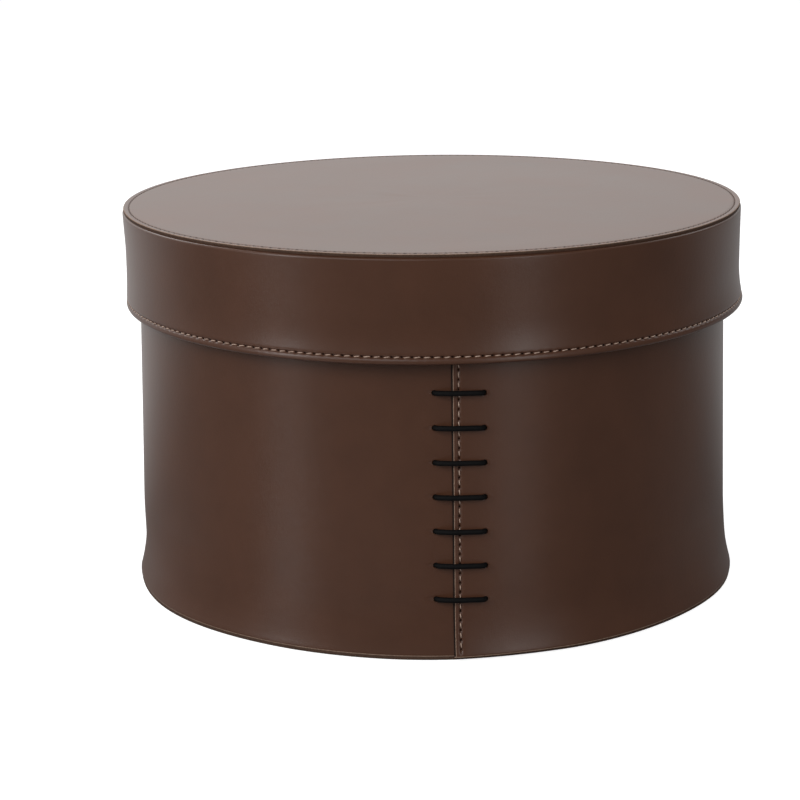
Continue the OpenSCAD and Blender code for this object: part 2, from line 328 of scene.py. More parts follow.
def start_line(name, points):
    """A chain of edges drawn out of one vertex. Leaves edit mode on, the last vertex selected."""
    deselect()
    bpy.ops.mesh.primitive_plane_add(size=MM, location=points[0])
    obj = bpy.context.object
    obj.name = name
    bpy.ops.object.transform_apply(location=True)
    bpy.ops.object.mode_set(mode="EDIT")
    bpy.ops.mesh.select_all(action="SELECT")
    bpy.ops.mesh.merge(type="CENTER")
    for here, there in zip(points, points[1:]):
        step = Vector(there) - Vector(here)
        bpy.ops.mesh.extrude_region_move(TRANSFORM_OT_translate={"value": step})
    return obj


def finish_mesh(obj, merge=0.01 * MM):
    pick(obj)
    bpy.ops.object.mode_set(mode="EDIT")
    bpy.ops.mesh.select_all(action="SELECT")
    bpy.ops.mesh.remove_doubles(threshold=merge)
    bpy.ops.mesh.normals_make_consistent(inside=False)
    bpy.ops.object.mode_set(mode="OBJECT")
    return obj


def apply_modifier(obj, kind, settings):
    pick(obj)
    bpy.ops.object.modifier_add(type=kind)
    modifier = obj.modifiers[-1]
    for key, value in settings.items():
        setattr(modifier, key, value)
    bpy.ops.object.modifier_apply(modifier=modifier.name)


def smooth(obj, angle=35):
    pick(obj)
    bpy.ops.object.shade_smooth_by_angle(angle=math.radians(angle))


def join(objects, name):
    deselect()
    for obj in objects:
        obj.select_set(True)
    bpy.context.view_layer.objects.active = objects[0]
    bpy.ops.object.join()
    objects[0].name = name
    return objects[0]


def hand_in(obj, body, slot, material, *replaced):
    """Dresses a finished piece, ties it to its body and hides the nodes it stands for; its slot is not used.
    """
    if not obj.data.materials:
        obj.data.materials.append(material)
    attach(obj, body)
    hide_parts(*replaced)
    return obj


# Surfaces of the box and the lid

TAU = 2 * math.pi


def wall_line(z):
    return MOUTH_R + WALL_SPREAD * (MOUTH_Z - z) / (MOUTH_Z - SOLE_TOP)


def wall_r(z):
    """Outside radius of the round wall at a height, with the foot's outward curve."""
    return wall_line(z) + FOOT_FLARE * (max(0, FLARE_H - z) / (FLARE_H - SOLE_TOP)) ** 2


def bearing(along):
    """Angle from the seam's cut edge for a distance along the wall, to the right."""
    return along / REF_R


def flap_lift(along):
    return LAP_SHIFT * (1 - math.sin(bearing(along)))


def on_wall(along, height, z):
    angle = bearing(along)
    radius = wall_r(z) + height
    return Vector((radius * math.sin(angle), -radius * math.cos(angle), z))


def rim_out(z):
    """Outside radius of the lid's rim at a height, with the hem's outward curve."""
    share = max(0, HEM_FLARE_TOP - z) / (HEM_FLARE_TOP - HEM_SIDE_Z)
    return RIM_R + HEM_FLARE * share ** 2


def unevenness(turn, z):
    """Slow waves of hand-formed leather, between 0 and 1. Works on numbers and on arrays."""
    waves = ((2, 0.7, 7), (3, 2.1, 16), (5, 4.0, 24), (8, 1.1, 37), (13, 5.2, 55))
    total = sum(np.sin(count * turn + start + pull * z) / count for count, start, pull in waves)
    return 0.5 + 0.5 * total / sum(1 / count for count, start, pull in waves)


def leftness(turn):
    """1 at the far left of the photograph's view, 0 from front and back on."""
    return np.maximum(0, np.cos(turn - math.pi)) ** 2


def top_pull(turn):
    """How far the lid's top lies inside its ideal round, where its left side has been pressed in."""
    return TOP_PULL * leftness(turn)


def rim_slack(turn, z):
    """How far the rim lies inside its ideal round: slow waves, and a hem that is pulled in at the left."""
    share = np.maximum(0, HEM_FLARE_TOP - z) / (HEM_FLARE_TOP - HEM_SIDE_Z)
    down = np.clip((FLANGE_TOP - z) / RIM_EASE, 0, 1)
    side = top_pull(turn) + (RIM_PULL * down + HEM_PULL * share ** 2) * leftness(turn)
    right = HEM_PULL_RIGHT * np.maximum(0, np.cos(turn)) ** 2 * share
    return RIM_WAVE * unevenness(turn, z) * down + side + right


def wall_slack(turn, z):
    """How far the wall lies inside its ideal round, fading out at the laced seam."""
    from_seam = np.abs((turn + math.pi / 2 + math.pi) % TAU - math.pi)
    fade = np.clip((from_seam - bearing(SEAM_STEADY)) / bearing(SEAM_FADE), 0, 1)
    low = np.clip((FOOT_PULL_TOP - z) / FLARE_H, 0, 1)
    right_of_seam = np.clip((turn + math.pi / 2) / bearing(FOOT_FLAT_W), 0, 1)
    foot = FOOT_PULL * leftness(turn) ** 6 + FOOT_FLAT * np.sin(math.pi * right_of_seam)
    for middle, width, height in FOOT_BULGES:
        foot = foot - height * np.exp(-((turn - math.radians(middle)) / math.radians(width)) ** 2)
    waves = WALL_WAVE * unevenness(turn + 2, z) * fade * fade * (3 - 2 * fade)
    return waves + foot * low * low * (3 - 2 * low)


def stitch_dent(along, across):
    """Depth of the leather round a row of stitches: a shallow channel, and a pit where the thread goes in.
    Along is counted from a stitch hole."""
    hole = (along + STITCH_PITCH / 2) % STITCH_PITCH - STITCH_PITCH / 2
    channel = CHANNEL_DEPTH * np.exp(-(across / (0.75 * MM)) ** 2)
    pit = PIT_DEPTH * np.exp(-(across / (0.5 * MM)) ** 2 - (hole / (0.85 * MM)) ** 2)
    return channel + pit


def at_stitch_hole(along, across):
    """Whether a place lies in a pierced hole, whose dark is painted shade."""
    hole = (along + STITCH_PITCH / 2) % STITCH_PITCH - STITCH_PITCH / 2
    return abs(hole) < 0.5 * MM and abs(across) < 0.42 * MM


# Steps from one stitch hole to the next, close together where the leather dips
HOLE_STEPS = [0, 0.45 * MM, 1 * MM, 2.5 * MM, 4 * MM, 4.55 * MM]
ROW_OFFSETS = [d * MM for d in (-2.2, -1.3, -0.8, -0.4, 0, 0.4, 0.8, 1.3, 2.2)]


def first_hole_turn(radius):
    """Angle of a ring's first stitch hole, just before the seam."""
    return -math.pi / 2 - (STITCH_PITCH - STITCH_LEN) / 2 / radius


def along_ring(turn, radius, count):
    """Distance along a ring of stitches from its first hole, in steps of the stitch pitch."""
    return (turn - first_hole_turn(radius)) / (TAU / count) * STITCH_PITCH


def ring_angles(radius, count):
    """Angles of a ring's columns, six for each stitch, starting at a hole just before the seam."""
    first = first_hole_turn(radius)
    pitch = TAU / count
    scale = pitch / STITCH_PITCH
    return [first + i * pitch + step * scale for i in range(count) for step in HOLE_STEPS]


def coordinates(obj):
    flat = np.zeros(len(obj.data.vertices) * 3)
    obj.data.vertices.foreach_get("co", flat)
    return flat.reshape(-1, 3)


def set_coordinates(obj, points):
    obj.data.vertices.foreach_set("co", points.ravel())
    obj.data.update()


def spun(name, profile, angles, centre_x=0.0, clockwise=False, full=False):
    """A profile in the XZ plane, turned about an upright axis, with its columns set to the given angles."""
    obj = start_line(name, [(x - centre_x, y, z) for x, y, z in profile])
    bpy.ops.object.mode_set(mode="OBJECT")
    steps = len(angles) - 1
    apply_modifier(obj, "SCREW", {"axis": "Z", "angle": TAU if full else 6.0, "steps": steps,
                                  "render_steps": steps, "use_merge_vertices": False})
    points = coordinates(obj)
    column = np.arange(len(points)) // len(profile)
    radius = np.hypot(points[:, 0], points[:, 1])
    angle = np.array(angles)[column]
    points[:, 0] = centre_x + radius * np.cos(angle)
    points[:, 1] = radius * np.sin(angle) * (-1 if clockwise else 1)
    set_coordinates(obj, points)
    return obj


def polar(points, centre_x=0.0):
    x = points[:, 0] - centre_x
    return np.hypot(x, points[:, 1]), np.arctan2(points[:, 1], x)


def move_inward(points, turn, depth):
    points[:, 0] -= depth * np.cos(turn)
    points[:, 1] -= depth * np.sin(turn)


def use_second_material(obj, material, chosen):
    """Gives a second material to the faces that a test on centre and normal picks."""
    obj.data.materials.append(material)
    index = len(obj.data.materials) - 1
    for face in obj.data.polygons:
        if chosen(face.center, face.normal):
            face.material_index = index


# Wall: one strip of leather, its right end lapped over its left end

def wall_heights():
    """Heights of the wall's rows: six for each stitch of the seam, and a rounded corner at either end."""
    rows = [FIRST_HOLE_Z + i * STITCH_PITCH + step for i in range(SEAM_STITCHES) for step in HOLE_STEPS]
    rows += [FIRST_HOLE_Z + SEAM_STITCHES * STITCH_PITCH]
    low = [SOLE_TOP, SOLE_TOP + 0.5 * MM, SOLE_TOP + 1.2 * MM, SOLE_TOP + 2.3 * MM]
    high = [MOUTH_Z - 2 * MM, MOUTH_Z - 1 * MM, MOUTH_Z - 0.4 * MM, MOUTH_Z]
    return low + rows + high


def wall_strip():
    profile = [(wall_r(z), 0, z) for z in wall_heights()]
    hidden_end = 1.5 * math.pi + bearing(LAP_W)
    fine = [math.radians(a) for a in range(0, 262, 3)]
    to_end = [hidden_end - bearing(d * MM) for d in (36, 30, 25, 20, 15, 10, 5, 0)]
    ring = spun("wall_leather_skin", profile, fine + to_end)

    edge_angle = math.pi / 2 - math.asin(LAP_SHIFT / REF_R)
    coarse = [math.radians(a) for a in range(0, 76, 3)]
    from_edge = (30, 25, 21, 18, 15, 12, 9.5, 7.2, 5.4, 4.2, 3.5, 3.05, 2.7, 2.4, 2.1, 1.75, 1.2, 0.5, -0.1)
    fine_edge = [edge_angle - bearing(d * MM) for d in from_edge] + [edge_angle + bearing(CUT_REACH)]
    flap = spun("flap", profile, coarse + fine_edge, centre_x=-LAP_SHIFT, clockwise=True)
    wall = join([ring, flap], "wall_leather_skin")
    finish_mesh(wall)
    centre = wall.data.polygons[0].center
    if wall.data.polygons[0].normal.dot(Vector((centre.x, centre.y, 0))) < 0:
        wall.data.flip_normals()
    return wall


def rounded_corner(distance, depth, reach):
    """How far a surface has dropped at a distance from its rounded edge."""
    return depth * np.exp(-np.maximum(0, distance) / reach)


def shape_wall(wall, skin_count):
    """Presses the seam's channel and pits into the outer face, rounds its corners and adds the slow waves."""
    points = coordinates(wall)
    skin = np.arange(len(points)) < skin_count
    z = points[:, 2].copy()
    turn = polar(points)[1]
    flap_radius, flap_turn = polar(points, -LAP_SHIFT)
    ideal = np.array([wall_r(height) for height in z])
    on_flap = skin & (points[:, 0] > -1 * MM) & (points[:, 1] < 0)
    on_flap &= flap_radius > ideal + LAP_SHIFT - 0.2 * MM
    along = (flap_turn + math.pi / 2 - math.asin(LAP_SHIFT / REF_R)) * REF_R
    depth = np.where(on_flap, stitch_dent(z - FIRST_HOLE_Z, along - SEAM_ROW), 0)
    depth[(z < FIRST_HOLE_Z - 2 * MM) | (z > LAST_HOLE_Z)] = 0
    from_cut = along + CUT_REACH
    cut_corner = rounded_corner(from_cut, 0.25 * MM, 0.25 * MM) + rounded_corner(from_cut, 0.4 * MM, 1 * MM)
    depth += np.where(on_flap, cut_corner, 0)
    from_end = np.minimum(z - SOLE_TOP, MOUTH_Z - z)
    depth += np.where(skin, rounded_corner(from_end, 0.4 * MM, 0.25 * MM), 0)
    depth += wall_slack(turn, z)
    move_inward(points, turn, depth)
    # The cut is bevelled: its flesh side lies further left
    flesh = flap_radius > ideal - LEATHER_T + LAP_SHIFT - 0.3 * MM
    flesh_edge = ~skin & (np.abs(from_cut) < 0.1 * MM) & (points[:, 1] < 0) & flesh
    points[flesh_edge, 0] -= CUT_BEVEL
    set_coordinates(wall, points)


def make_sole():
    """Disc of sole leather under the foot, its edge burnished and pulled in where the foot is."""
    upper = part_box("sole_leather")[1]
    rounding = 0.5 * MM
    rings = [radius * MM for radius in (40, 80, 115, 140, 155, 163)]
    profile = [(0, 0, 0)] + [(radius, 0, 0) for radius in rings]
    profile += arc(upper.x - rounding, rounding, rounding, -90, 0, 4)
    profile += [(upper.x, 0, upper.z - 0.2 * MM), (upper.x - 0.2 * MM, 0, upper.z)]
    profile += [(radius, 0, upper.z) for radius in reversed(rings)] + [(0, 0, upper.z)]
    sole = spun("sole_leather_skin", profile, [TAU * i / 180 for i in range(181)], full=True)
    finish_mesh(sole)
    points = coordinates(sole)
    radius, turn = polar(points)
    move_inward(points, turn, wall_slack(turn, SOLE_TOP) * np.clip((radius - 150 * MM) / (10 * MM), 0, 1))
    set_coordinates(sole, points)
    sole.data.materials.append(SOLE)
    # The sole's side gets the dark burnished-edge colour, dark partly as painted shade of the contact line
    # under the foot
    use_second_material(sole, EDGE, lambda c, n: math.hypot(c.x, c.y) > 160 * MM and abs(n.z) < 0.8)
    smooth(sole, 50)
    return hand_in(sole, "box", "leather", SOLE, "sole_leather")


def lace_hole_cutters():
    """Round punches for the lace holes, flared where the leather is pulled in round each hole."""
    low_end = -WALL_T / MM - 6
    punch = [(0, low_end), (1.4, low_end), (1.4, -0.5), (1.43, -0.25), (1.5, -0.1), (1.64, -0.01),
             (1.85, 0.04), (2, 3), (0, 3)]
    punch = [(r * MM, 0, h * MM) for r, h in punch]
    angles = [TAU * i / 24 for i in range(25)]
    first = spun("punch", punch, angles, full=True)
    finish_mesh(first)
    first.data.materials.append(LEATHER)
    copies = []
    for row in range(LACE_ROWS):
        for along, lift in ((-LACE_LEFT, 0), (LACE_RIGHT, flap_lift(LACE_RIGHT))):
            z = lace_z(row)
            out = Vector((math.sin(bearing(along)), -math.cos(bearing(along)), 0))
            copy = first.copy()
            copy.data = first.data.copy()
            bpy.context.scene.collection.objects.link(copy)
            turn = out.to_track_quat("Z", "Y").to_matrix().to_4x4()
            copy.matrix_world = Matrix.Translation(on_wall(along, lift, z)) @ turn
            copies.append(copy)
    bpy.data.objects.remove(first)
    return join(copies, "punches")


def make_wall():
    wall = wall_strip()
    wall.data.materials.append(LEATHER)
    wall.data.materials.append(EDGE)
    skin_count = len(wall.data.vertices)
    apply_modifier(wall, "SOLIDIFY", {"thickness": LEATHER_T, "offset": -1, "use_even_offset": True,
                                      "material_offset_rim": 1})
    shape_wall(wall, skin_count)
    cutters = lace_hole_cutters()
    apply_modifier(wall, "BOOLEAN", {"operation": "DIFFERENCE", "solver": "EXACT", "object": cutters,
                                     "material_mode": "TRANSFER"})
    bpy.data.objects.remove(cutters)
    wall.data.materials.append(WORN_EDGE_WITH_HIGHLIGHT)
    worn_highlight_index = len(wall.data.materials) - 1
    wall.data.materials.append(PAINTED_HOLE_SHADE)
    shade_index = len(wall.data.materials) - 1
    # The seam's cut face gets painted shade for the gap at its left; its corner and the foot's lowest faces
    # are painted pale, partly rubbed wear and partly painted highlight; the stitch holes get painted shade
    for face in wall.data.polygons:
        c = face.center
        at_foot = c.z < SOLE_TOP + 0.3 * MM
        at_front = c.y < -(MOUTH_R + 1 * MM)
        at_corner = at_front and -0.6 * MM < c.x < -0.1 * MM and face.material_index == 0
        if at_front and abs(c.x) < 1.5 * MM and face.normal.x < -0.85:
            face.material_index = shade_index
        elif at_foot or at_corner:
            face.material_index = worn_highlight_index
        elif at_front and FIRST_HOLE_Z - 1 * MM < c.z < LAST_HOLE_Z:
            if at_stitch_hole(c.z - FIRST_HOLE_Z, c.x - SEAM_ROW):
                face.material_index = shade_index
    smooth(wall, 40)
    return hand_in(wall, "box", "leather", LEATHER, "wall_leather")


# Lid: rim and top

def arc(cx, cz, radius, start, end, steps):
    """Points of an arc in the XZ plane, angles in degrees from +X."""
    turns = [math.radians(start + (end - start) * i / steps) for i in range(steps + 1)]
    return [(cx + radius * math.cos(a), 0, cz + radius * math.sin(a)) for a in turns]


def rim_profile():
    flange_under = FLANGE_TOP - LEATHER_T
    flange_in = RIM_R - FLANGE_W
    inner = RIM_R - LEATHER_T
    points = [(flange_in, 0, flange_under), (flange_in, 0, FLANGE_TOP), (RIM_R - 6 * MM, 0, FLANGE_TOP)]
    points += arc(RIM_R - SHOULDER_R, FLANGE_TOP - SHOULDER_R, SHOULDER_R, 90, 0, 8)
    side = [203, 199, 194, 189, 184, 180, 176, 172.5, 169.5, 167, 164.8, 163, 161.9]
    heights = [z * MM for z in side] + [HEM_ROW_Z - d for d in ROW_OFFSETS]
    heights = [z for z in heights if z > HEM_SIDE_Z + 0.3 * MM] + [HEM_SIDE_Z + 0.1 * MM]
    points += [(rim_out(z), 0, z) for z in heights]
    points += arc(rim_out(HEM_SIDE_Z) - FOLD_R, HEM_SIDE_Z, FOLD_R, -15, -180, 9)
    turned = [158, 160, 162, 164, 166, 166.7]
    points += [(rim_out(z * MM) - HEM_T, 0, z * MM) for z in turned]
    points += [(rim_out(HEM_TURN_Z) - HEM_T + 0.3 * MM, 0, HEM_TURN_Z),
               (rim_out(HEM_TURN_Z) - LEATHER_T, 0, HEM_TURN_Z)]
    points += [(rim_out(z * MM) - LEATHER_T, 0, z * MM) for z in (170, 174)]
    points += [(inner, 0, HEM_FLARE_TOP), (inner, 0, 190 * MM), (inner, 0, flange_under)]
    return points + points[:1]


def make_rim():
    slit = RIM_SLIT / 2 / RIM_R
    start = math.pi / 2 + slit
    end = start + TAU - 2 * slit
    columns = [a + turns * TAU for turns in (0, 1) for a in ring_angles(rim_out(HEM_ROW_Z), HEM_STITCHES)]
    bevel = RIM_BEVEL / RIM_R
    clear = bevel + END_GAP_TURN
    columns = [a for a in columns if start + clear < a < end - clear]
    columns = [start, start + bevel] + columns + [end - bevel, end]
    rim = spun("rim_leather_skin", rim_profile(), columns)
    finish_mesh(rim)
    bpy.ops.object.mode_set(mode="EDIT")
    bpy.ops.mesh.select_all(action="SELECT")
    bpy.ops.mesh.fill_holes(sides=0)
    finish_mesh(rim)
    points = coordinates(rim)
    radius, turn = polar(points)
    z = points[:, 2].copy()
    outside = radius > np.array([rim_out(height) for height in z]) - 0.3 * MM
    near_row = np.abs(z - HEM_ROW_Z) < 2.3 * MM
    along = along_ring(turn, rim_out(HEM_ROW_Z), HEM_STITCHES)
    depth = np.where(outside & near_row, stitch_dent(along, z - HEM_ROW_Z), 0) + rim_slack(turn, z)
    ends = np.abs(turn - math.pi / 2) < slit + bevel / 4
    depth += np.where(outside & ends, RIM_BEVEL_DEPTH, 0)
    move_inward(points, turn, depth)
    # The two ends are skived: their flesh side lies further left, so that no light comes through
    points[:, 0] += np.where(ends & ~outside, RIM_SKIVE, 0)
    set_coordinates(rim, points)
    rim.data.materials.append(LEATHER)
    flesh_edge = RIM_R - FLANGE_W + 1 * MM

    def at_cut(c, n):
        at_ends = abs(c.x) < RIM_BEVEL + 0.1 * MM and c.y > 0 and abs(n.x) > 0.4
        at_flange = math.hypot(c.x, c.y) < flesh_edge and abs(n.z) < 0.5
        at_turned_edge = HEM_TURN_Z - 0.2 * MM < c.z <= HEM_TURN_Z and n.z > 0.5
        return at_ends or at_flange or at_turned_edge

    def at_hole(c, n):
        along = along_ring(math.atan2(c.y, c.x), rim_out(HEM_ROW_Z), HEM_STITCHES)
        return math.hypot(c.x, c.y) > RIM_R - 1 * MM and at_stitch_hole(along, c.z - HEM_ROW_Z)

    use_second_material(rim, EDGE, at_cut)
    # The hem's stitch holes get painted shade
    use_second_material(rim, PAINTED_HOLE_SHADE, at_hole)
    smooth(rim, 40)
    return hand_in(rim, "lid", "leather", LEATHER, "rim_leather")


def make_top():
    """Disc of leather on top of the lid, cut raw, with a stitched row just inside its edge."""
    rings = [TOP_ROW_R - d for d in reversed(ROW_OFFSETS)]
    inner = [d * MM for d in (162.5, 160, 156, 150, 140, 128, 112, 92, 70, 45, 20)]
    profile = [(0, 0, FLANGE_TOP), (100 * MM, 0, FLANGE_TOP), (TOP_R - 0.3 * MM, 0, FLANGE_TOP),
               (TOP_R, 0, FLANGE_TOP + 0.3 * MM)]
    profile += arc(TOP_R - TOP_ROUNDING, TOP_FACE_Z - TOP_ROUNDING, TOP_ROUNDING, 0, 90, 4)
    profile += [(r, 0, TOP_FACE_Z) for r in sorted(rings + inner, reverse=True) if r < TOP_R - 0.7 * MM]
    profile += [(0, 0, TOP_FACE_Z)]
    columns = ring_angles(TOP_ROW_R, TOP_STITCHES)
    top = spun("top_leather_skin", profile, columns + [columns[0] + TAU], full=True)
    finish_mesh(top)
    points = coordinates(top)
    radius, turn = polar(points)
    on_top = points[:, 2] > TOP_FACE_Z - 0.1 * MM
    along = along_ring(turn, TOP_ROW_R, TOP_STITCHES)
    near_row = np.abs(radius - TOP_ROW_R) < 2.4 * MM
    dent = np.where(on_top & near_row, TOP_DENT * stitch_dent(along, radius - TOP_ROW_R), 0)
    inside = np.clip((TOP_ROW_R - 3 * MM - radius) / (25 * MM), 0, 1)
    swell = TOP_WAVE * unevenness(turn + 9 * radius, 3 * radius) * inside
    points[:, 2] -= np.where(on_top, dent + swell, 0)
    move_inward(points, turn, top_pull(turn) * np.clip((radius - 140 * MM) / (25 * MM), 0, 1))
    set_coordinates(top, points)
    top.data.materials.append(LEATHER_TOP_PAINTED_LIGHTER)

    def inside_edge(c):
        return TOP_R - math.hypot(c.x, c.y) - float(top_pull(math.atan2(c.y, c.x)))

    def at_corner(c, n):
        return inside_edge(c) < 0.4 * MM and c.z > TOP_FACE_Z - 0.25 * MM

    def at_hole(c, n):
        along = along_ring(math.atan2(c.y, c.x), TOP_ROW_R, TOP_STITCHES)
        return c.z > TOP_FACE_Z - 1.4 * MM and at_stitch_hole(along, inside_edge(c) - TOP_R + TOP_ROW_R)

    use_second_material(top, EDGE, lambda c, n: inside_edge(c) < 0.15 * MM)
    # The top's rounded corner gets the pale corner colour, a painted highlight where it catches the light
    use_second_material(top, WORN_EDGE_WITH_HIGHLIGHT, at_corner)
    # The top's stitch holes get painted shade
    use_second_material(top, PAINTED_HOLE_SHADE, at_hole)
    smooth(top, 50)
    return hand_in(top, "lid", "leather", LEATHER_TOP_PAINTED_LIGHTER, "top_leather")


# Stitches, each a short bent length of thread

def one_stitch():
    """A stitch lying along X with its outside towards +Z, its ends diving into the holes."""
    rings = [(-1.75, -1.1, 0.22), (-1.5, -0.6, 0.27), (-1.0, -0.12, 0.32), (0, 0.1, 0.345),
             (1.0, -0.12, 0.32), (1.5, -0.6, 0.27), (1.75, -1.1, 0.22)]
    deselect()
    x, z, radius = rings[0]
    bpy.ops.mesh.primitive_circle_add(vertices=6, radius=radius * MM, fill_type="NGON",
                                      location=(x * MM, 0, z * MM), rotation=(0, math.pi / 2, 0))
    stitch = bpy.context.object
    bpy.ops.object.transform_apply(location=True, rotation=True)
    bpy.ops.object.mode_set(mode="EDIT")
    bpy.ops.mesh.select_all(action="SELECT")
    for (x0, z0, r0), (x1, z1, r1) in zip(rings, rings[1:]):
        step = ((x1 - x0) * MM, 0, (z1 - z0) * MM)
        bpy.ops.mesh.extrude_region_move(TRANSFORM_OT_translate={"value": step})
        bpy.ops.transform.resize(value=(1, r1 / r0, r1 / r0), center_override=(x1 * MM, 0, z1 * MM))
    finish_mesh(stitch, merge=0.001 * MM)
    return stitch


def sew(name, places, body, material, node, stretch=1.0, girth=1.0):
    """Copies one stitch to each (point, along, outward) and joins the row."""
    pattern = one_stitch()
    row = []
    for point, along, outward in places:
        along = along.normalized()
        across = outward.normalized().cross(along).normalized()
        outward = along.cross(across)
        turn = Matrix((along, across, outward)).transposed().to_4x4()
        slant = Matrix.Rotation(math.radians(STITCH_SLANT + RNG.uniform(-2.5, 2.5)), 4, "Z")
        size = Matrix.Diagonal((stretch * RNG.uniform(0.94, 1.04), girth, girth, 1))
        copy = pattern.copy()
        copy.data = pattern.data.copy()
        bpy.context.scene.collection.objects.link(copy)
        copy.matrix_world = Matrix.Translation(point) @ turn @ slant @ size
        row.append(copy)
    bpy.data.objects.remove(pattern)
    thread = join(row, name)
    bpy.ops.object.transform_apply(location=True, rotation=True, scale=True)
    smooth(thread, 60)
    return hand_in(thread, body, "thread", material, node)


def ring_places(count, radius_at, z, outward_at):
    """Middles of a ring's stitches, starting just after the seam."""
    places = []
    for i in range(count):
        turn = -math.pi / 2 + TAU * i / count + STITCH_LEN / 2 / radius_at(0)
        radius = radius_at(turn)
        out = Vector((math.cos(turn), math.sin(turn), 0))
        places.append((out * radius + Vector((0, 0, z)), Vector((-out.y, out.x, 0)), outward_at(out)))
    return places


def make_top_stitches():
    places = ring_places(
        TOP_STITCHES, lambda turn: TOP_ROW_R - float(top_pull(turn)),
        TOP_Z - TOP_THREAD_SINK, lambda out: Vector((0, 0, 1)))
    return sew("top_stitches", places, "lid", TOP_THREAD_PAINTED_SHADE, "top_thread")


def make_hem_stitches():
    lean = (rim_out(HEM_ROW_Z - 1 * MM) - rim_out(HEM_ROW_Z + 1 * MM)) / (2 * MM)
    places = ring_places(
        HEM_STITCHES, lambda turn: rim_out(HEM_ROW_Z) - HEM_THREAD_SINK - float(rim_slack(turn, HEM_ROW_Z)),
        HEM_ROW_Z, lambda out: out + Vector((0, 0, lean)))
    return sew("hem_stitches", places, "lid", THREAD, "hem_thread", girth=0.82)


def make_seam_stitches():
    lift = flap_lift(SEAM_ROW) - THREAD_SINK
    outward = Vector((math.sin(bearing(SEAM_ROW)), -math.cos(bearing(SEAM_ROW)), 0))
    places = []
    for i in range(SEAM_STITCHES):
        z = SEAM_LOW_Z + i * STITCH_PITCH
        low = on_wall(SEAM_ROW, lift, z - STITCH_LEN / 2)
        high = on_wall(SEAM_ROW, lift, z + STITCH_LEN / 2)
        places.append(((low + high) / 2, high - low, outward))
    return sew("seam_stitches", places, "box", THREAD, "seam_thread", stretch=0.85, girth=0.88)


def make_rim_seam_stitches():
    """Cross stitches that draw the rim's two ends together at the back."""
    low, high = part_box("rim_seam_thread")[0].z + THREAD_R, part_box("rim_seam_thread")[1].z - THREAD_R
    count = round((high - low) / STITCH_PITCH) + 1
    places = []
    for i in range(count):
        z = low + i * STITCH_PITCH
        radius = rim_out(z) + 0.3 * MM - float(rim_slack(math.pi / 2, z))
        places.append((Vector((0, radius, z)), Vector((-1, 0, 0)), Vector((0, 1, 0))))
    return sew("rim_seam_stitches", places, "lid", THREAD, "rim_seam_thread", stretch=1.2)


# Lace

def lace_z(row):
    return LACE_TOP_Z - row * (LACE_TOP_Z - LACE_FOOT_Z) / (LACE_ROWS - 1)


def risen(along):
    share = (2 * along + LACE_LEFT - LACE_RIGHT) / (LACE_LEFT + LACE_RIGHT)
    return LACE_RISE * (1 - share ** 4)


def lace_bar(z):
    """One bar from left to right: out of the left hole, up over the cut edge and down into the right hole."""
    over = LAP_SHIFT + LACE_R + 0.35 * MM
    right = flap_lift(LACE_RIGHT)
    shape = [(-LACE_LEFT, -0.6 * MM), (-LACE_LEFT + 0.7 * MM, 0.95 * MM), (-LACE_LEFT + 2.2 * MM, 2.1 * MM),
             (-LACE_LEFT + 4.6 * MM, 3 * MM), (-2 * MM, over - 0.15 * MM),
             (0.6 * MM, over), (5 * MM, over + 0.1 * MM),
             (LACE_RIGHT - 4 * MM, over), (LACE_RIGHT - 2.4 * MM, over - 0.15 * MM),
             (LACE_RIGHT - 1.1 * MM, right + 1.2 * MM), (LACE_RIGHT - 0.15 * MM, right - 0.2 * MM)]
    return [(along, height, z + risen(along), 1) for along, height in shape]


LACE_INSIDE = -WALL_T - LACE_R - 0.1 * MM


def lace_through(along, z, up):
    """Out of a hole on the inside, and turned along the wall."""
    return [(along, -WALL_T + 1.2 * MM, z, 0.97),
            (along, LACE_INSIDE + 0.9 * MM, z + up * 0.25 * MM, 0.97),
            (along, LACE_INSIDE + 0.15 * MM, z + up * 1.1 * MM, 1),
            (along, LACE_INSIDE, z + up * 2.4 * MM, 1)]


def lace_knot(along, z, up):
    """A small tight knot on the inside, with a short end past it. Its sizes are rise, depth and thickness."""
    shape = [(3.6, 0.1, 1), (5, 0.8, 1), (5.6, 1.4, 1.75), (7.2, 1.5, 2.05), (8.8, 1.4, 1.75), (9.4, 0.8, 1),
             (12, 0.4, 1), (15, 0.6, 0.95)]
    return [(along, LACE_INSIDE - depth * MM, z + up * rise * MM, size) for rise, depth, size in shape]


def lace_route():
    """The lace comes down to each row from above and crosses it one way, then the other."""
    route = lace_knot(-LACE_LEFT, lace_z(0), 1)[::-1]
    for row in range(LACE_ROWS):
        z = lace_z(row)
        if row % 2 == 0:
            route += lace_through(-LACE_LEFT, z, 1)[::-1] + lace_bar(z) + lace_through(LACE_RIGHT, z, -1)
        else:
            route += lace_through(LACE_RIGHT, z, 1)[::-1] + lace_bar(z)[::-1]
            route += lace_through(-LACE_LEFT, z, -1)
    last = LACE_RIGHT if LACE_ROWS % 2 == 1 else -LACE_LEFT
    return route + lace_knot(last, lace_z(LACE_ROWS - 1), -1)


def make_lace():
    route = lace_route()
    curve = bpy.data.curves.new("lace", "CURVE")
    curve.dimensions = "3D"
    curve.bevel_depth = LACE_R
    curve.bevel_resolution = 4
    curve.resolution_u = 4
    curve.use_fill_caps = True
    line = curve.splines.new("NURBS")
    line.points.add(len(route) - 1)
    line.order_u = 3
    line.use_endpoint_u = True
    for point, (along, height, z, size) in zip(line.points, route):
        point.co = (*on_wall(along, height, z), 1)
        point.radius = size
    lace = bpy.data.objects.new("waxed_lace", curve)
    bpy.context.scene.collection.objects.link(lace)
    pick(lace)
    bpy.ops.object.convert(target="MESH")
    lace = bpy.context.object
    lace.data.materials.clear()
    finish_mesh(lace)
    smooth(lace, 60)
    return hand_in(lace, "box", "lace", LACE, "lace")


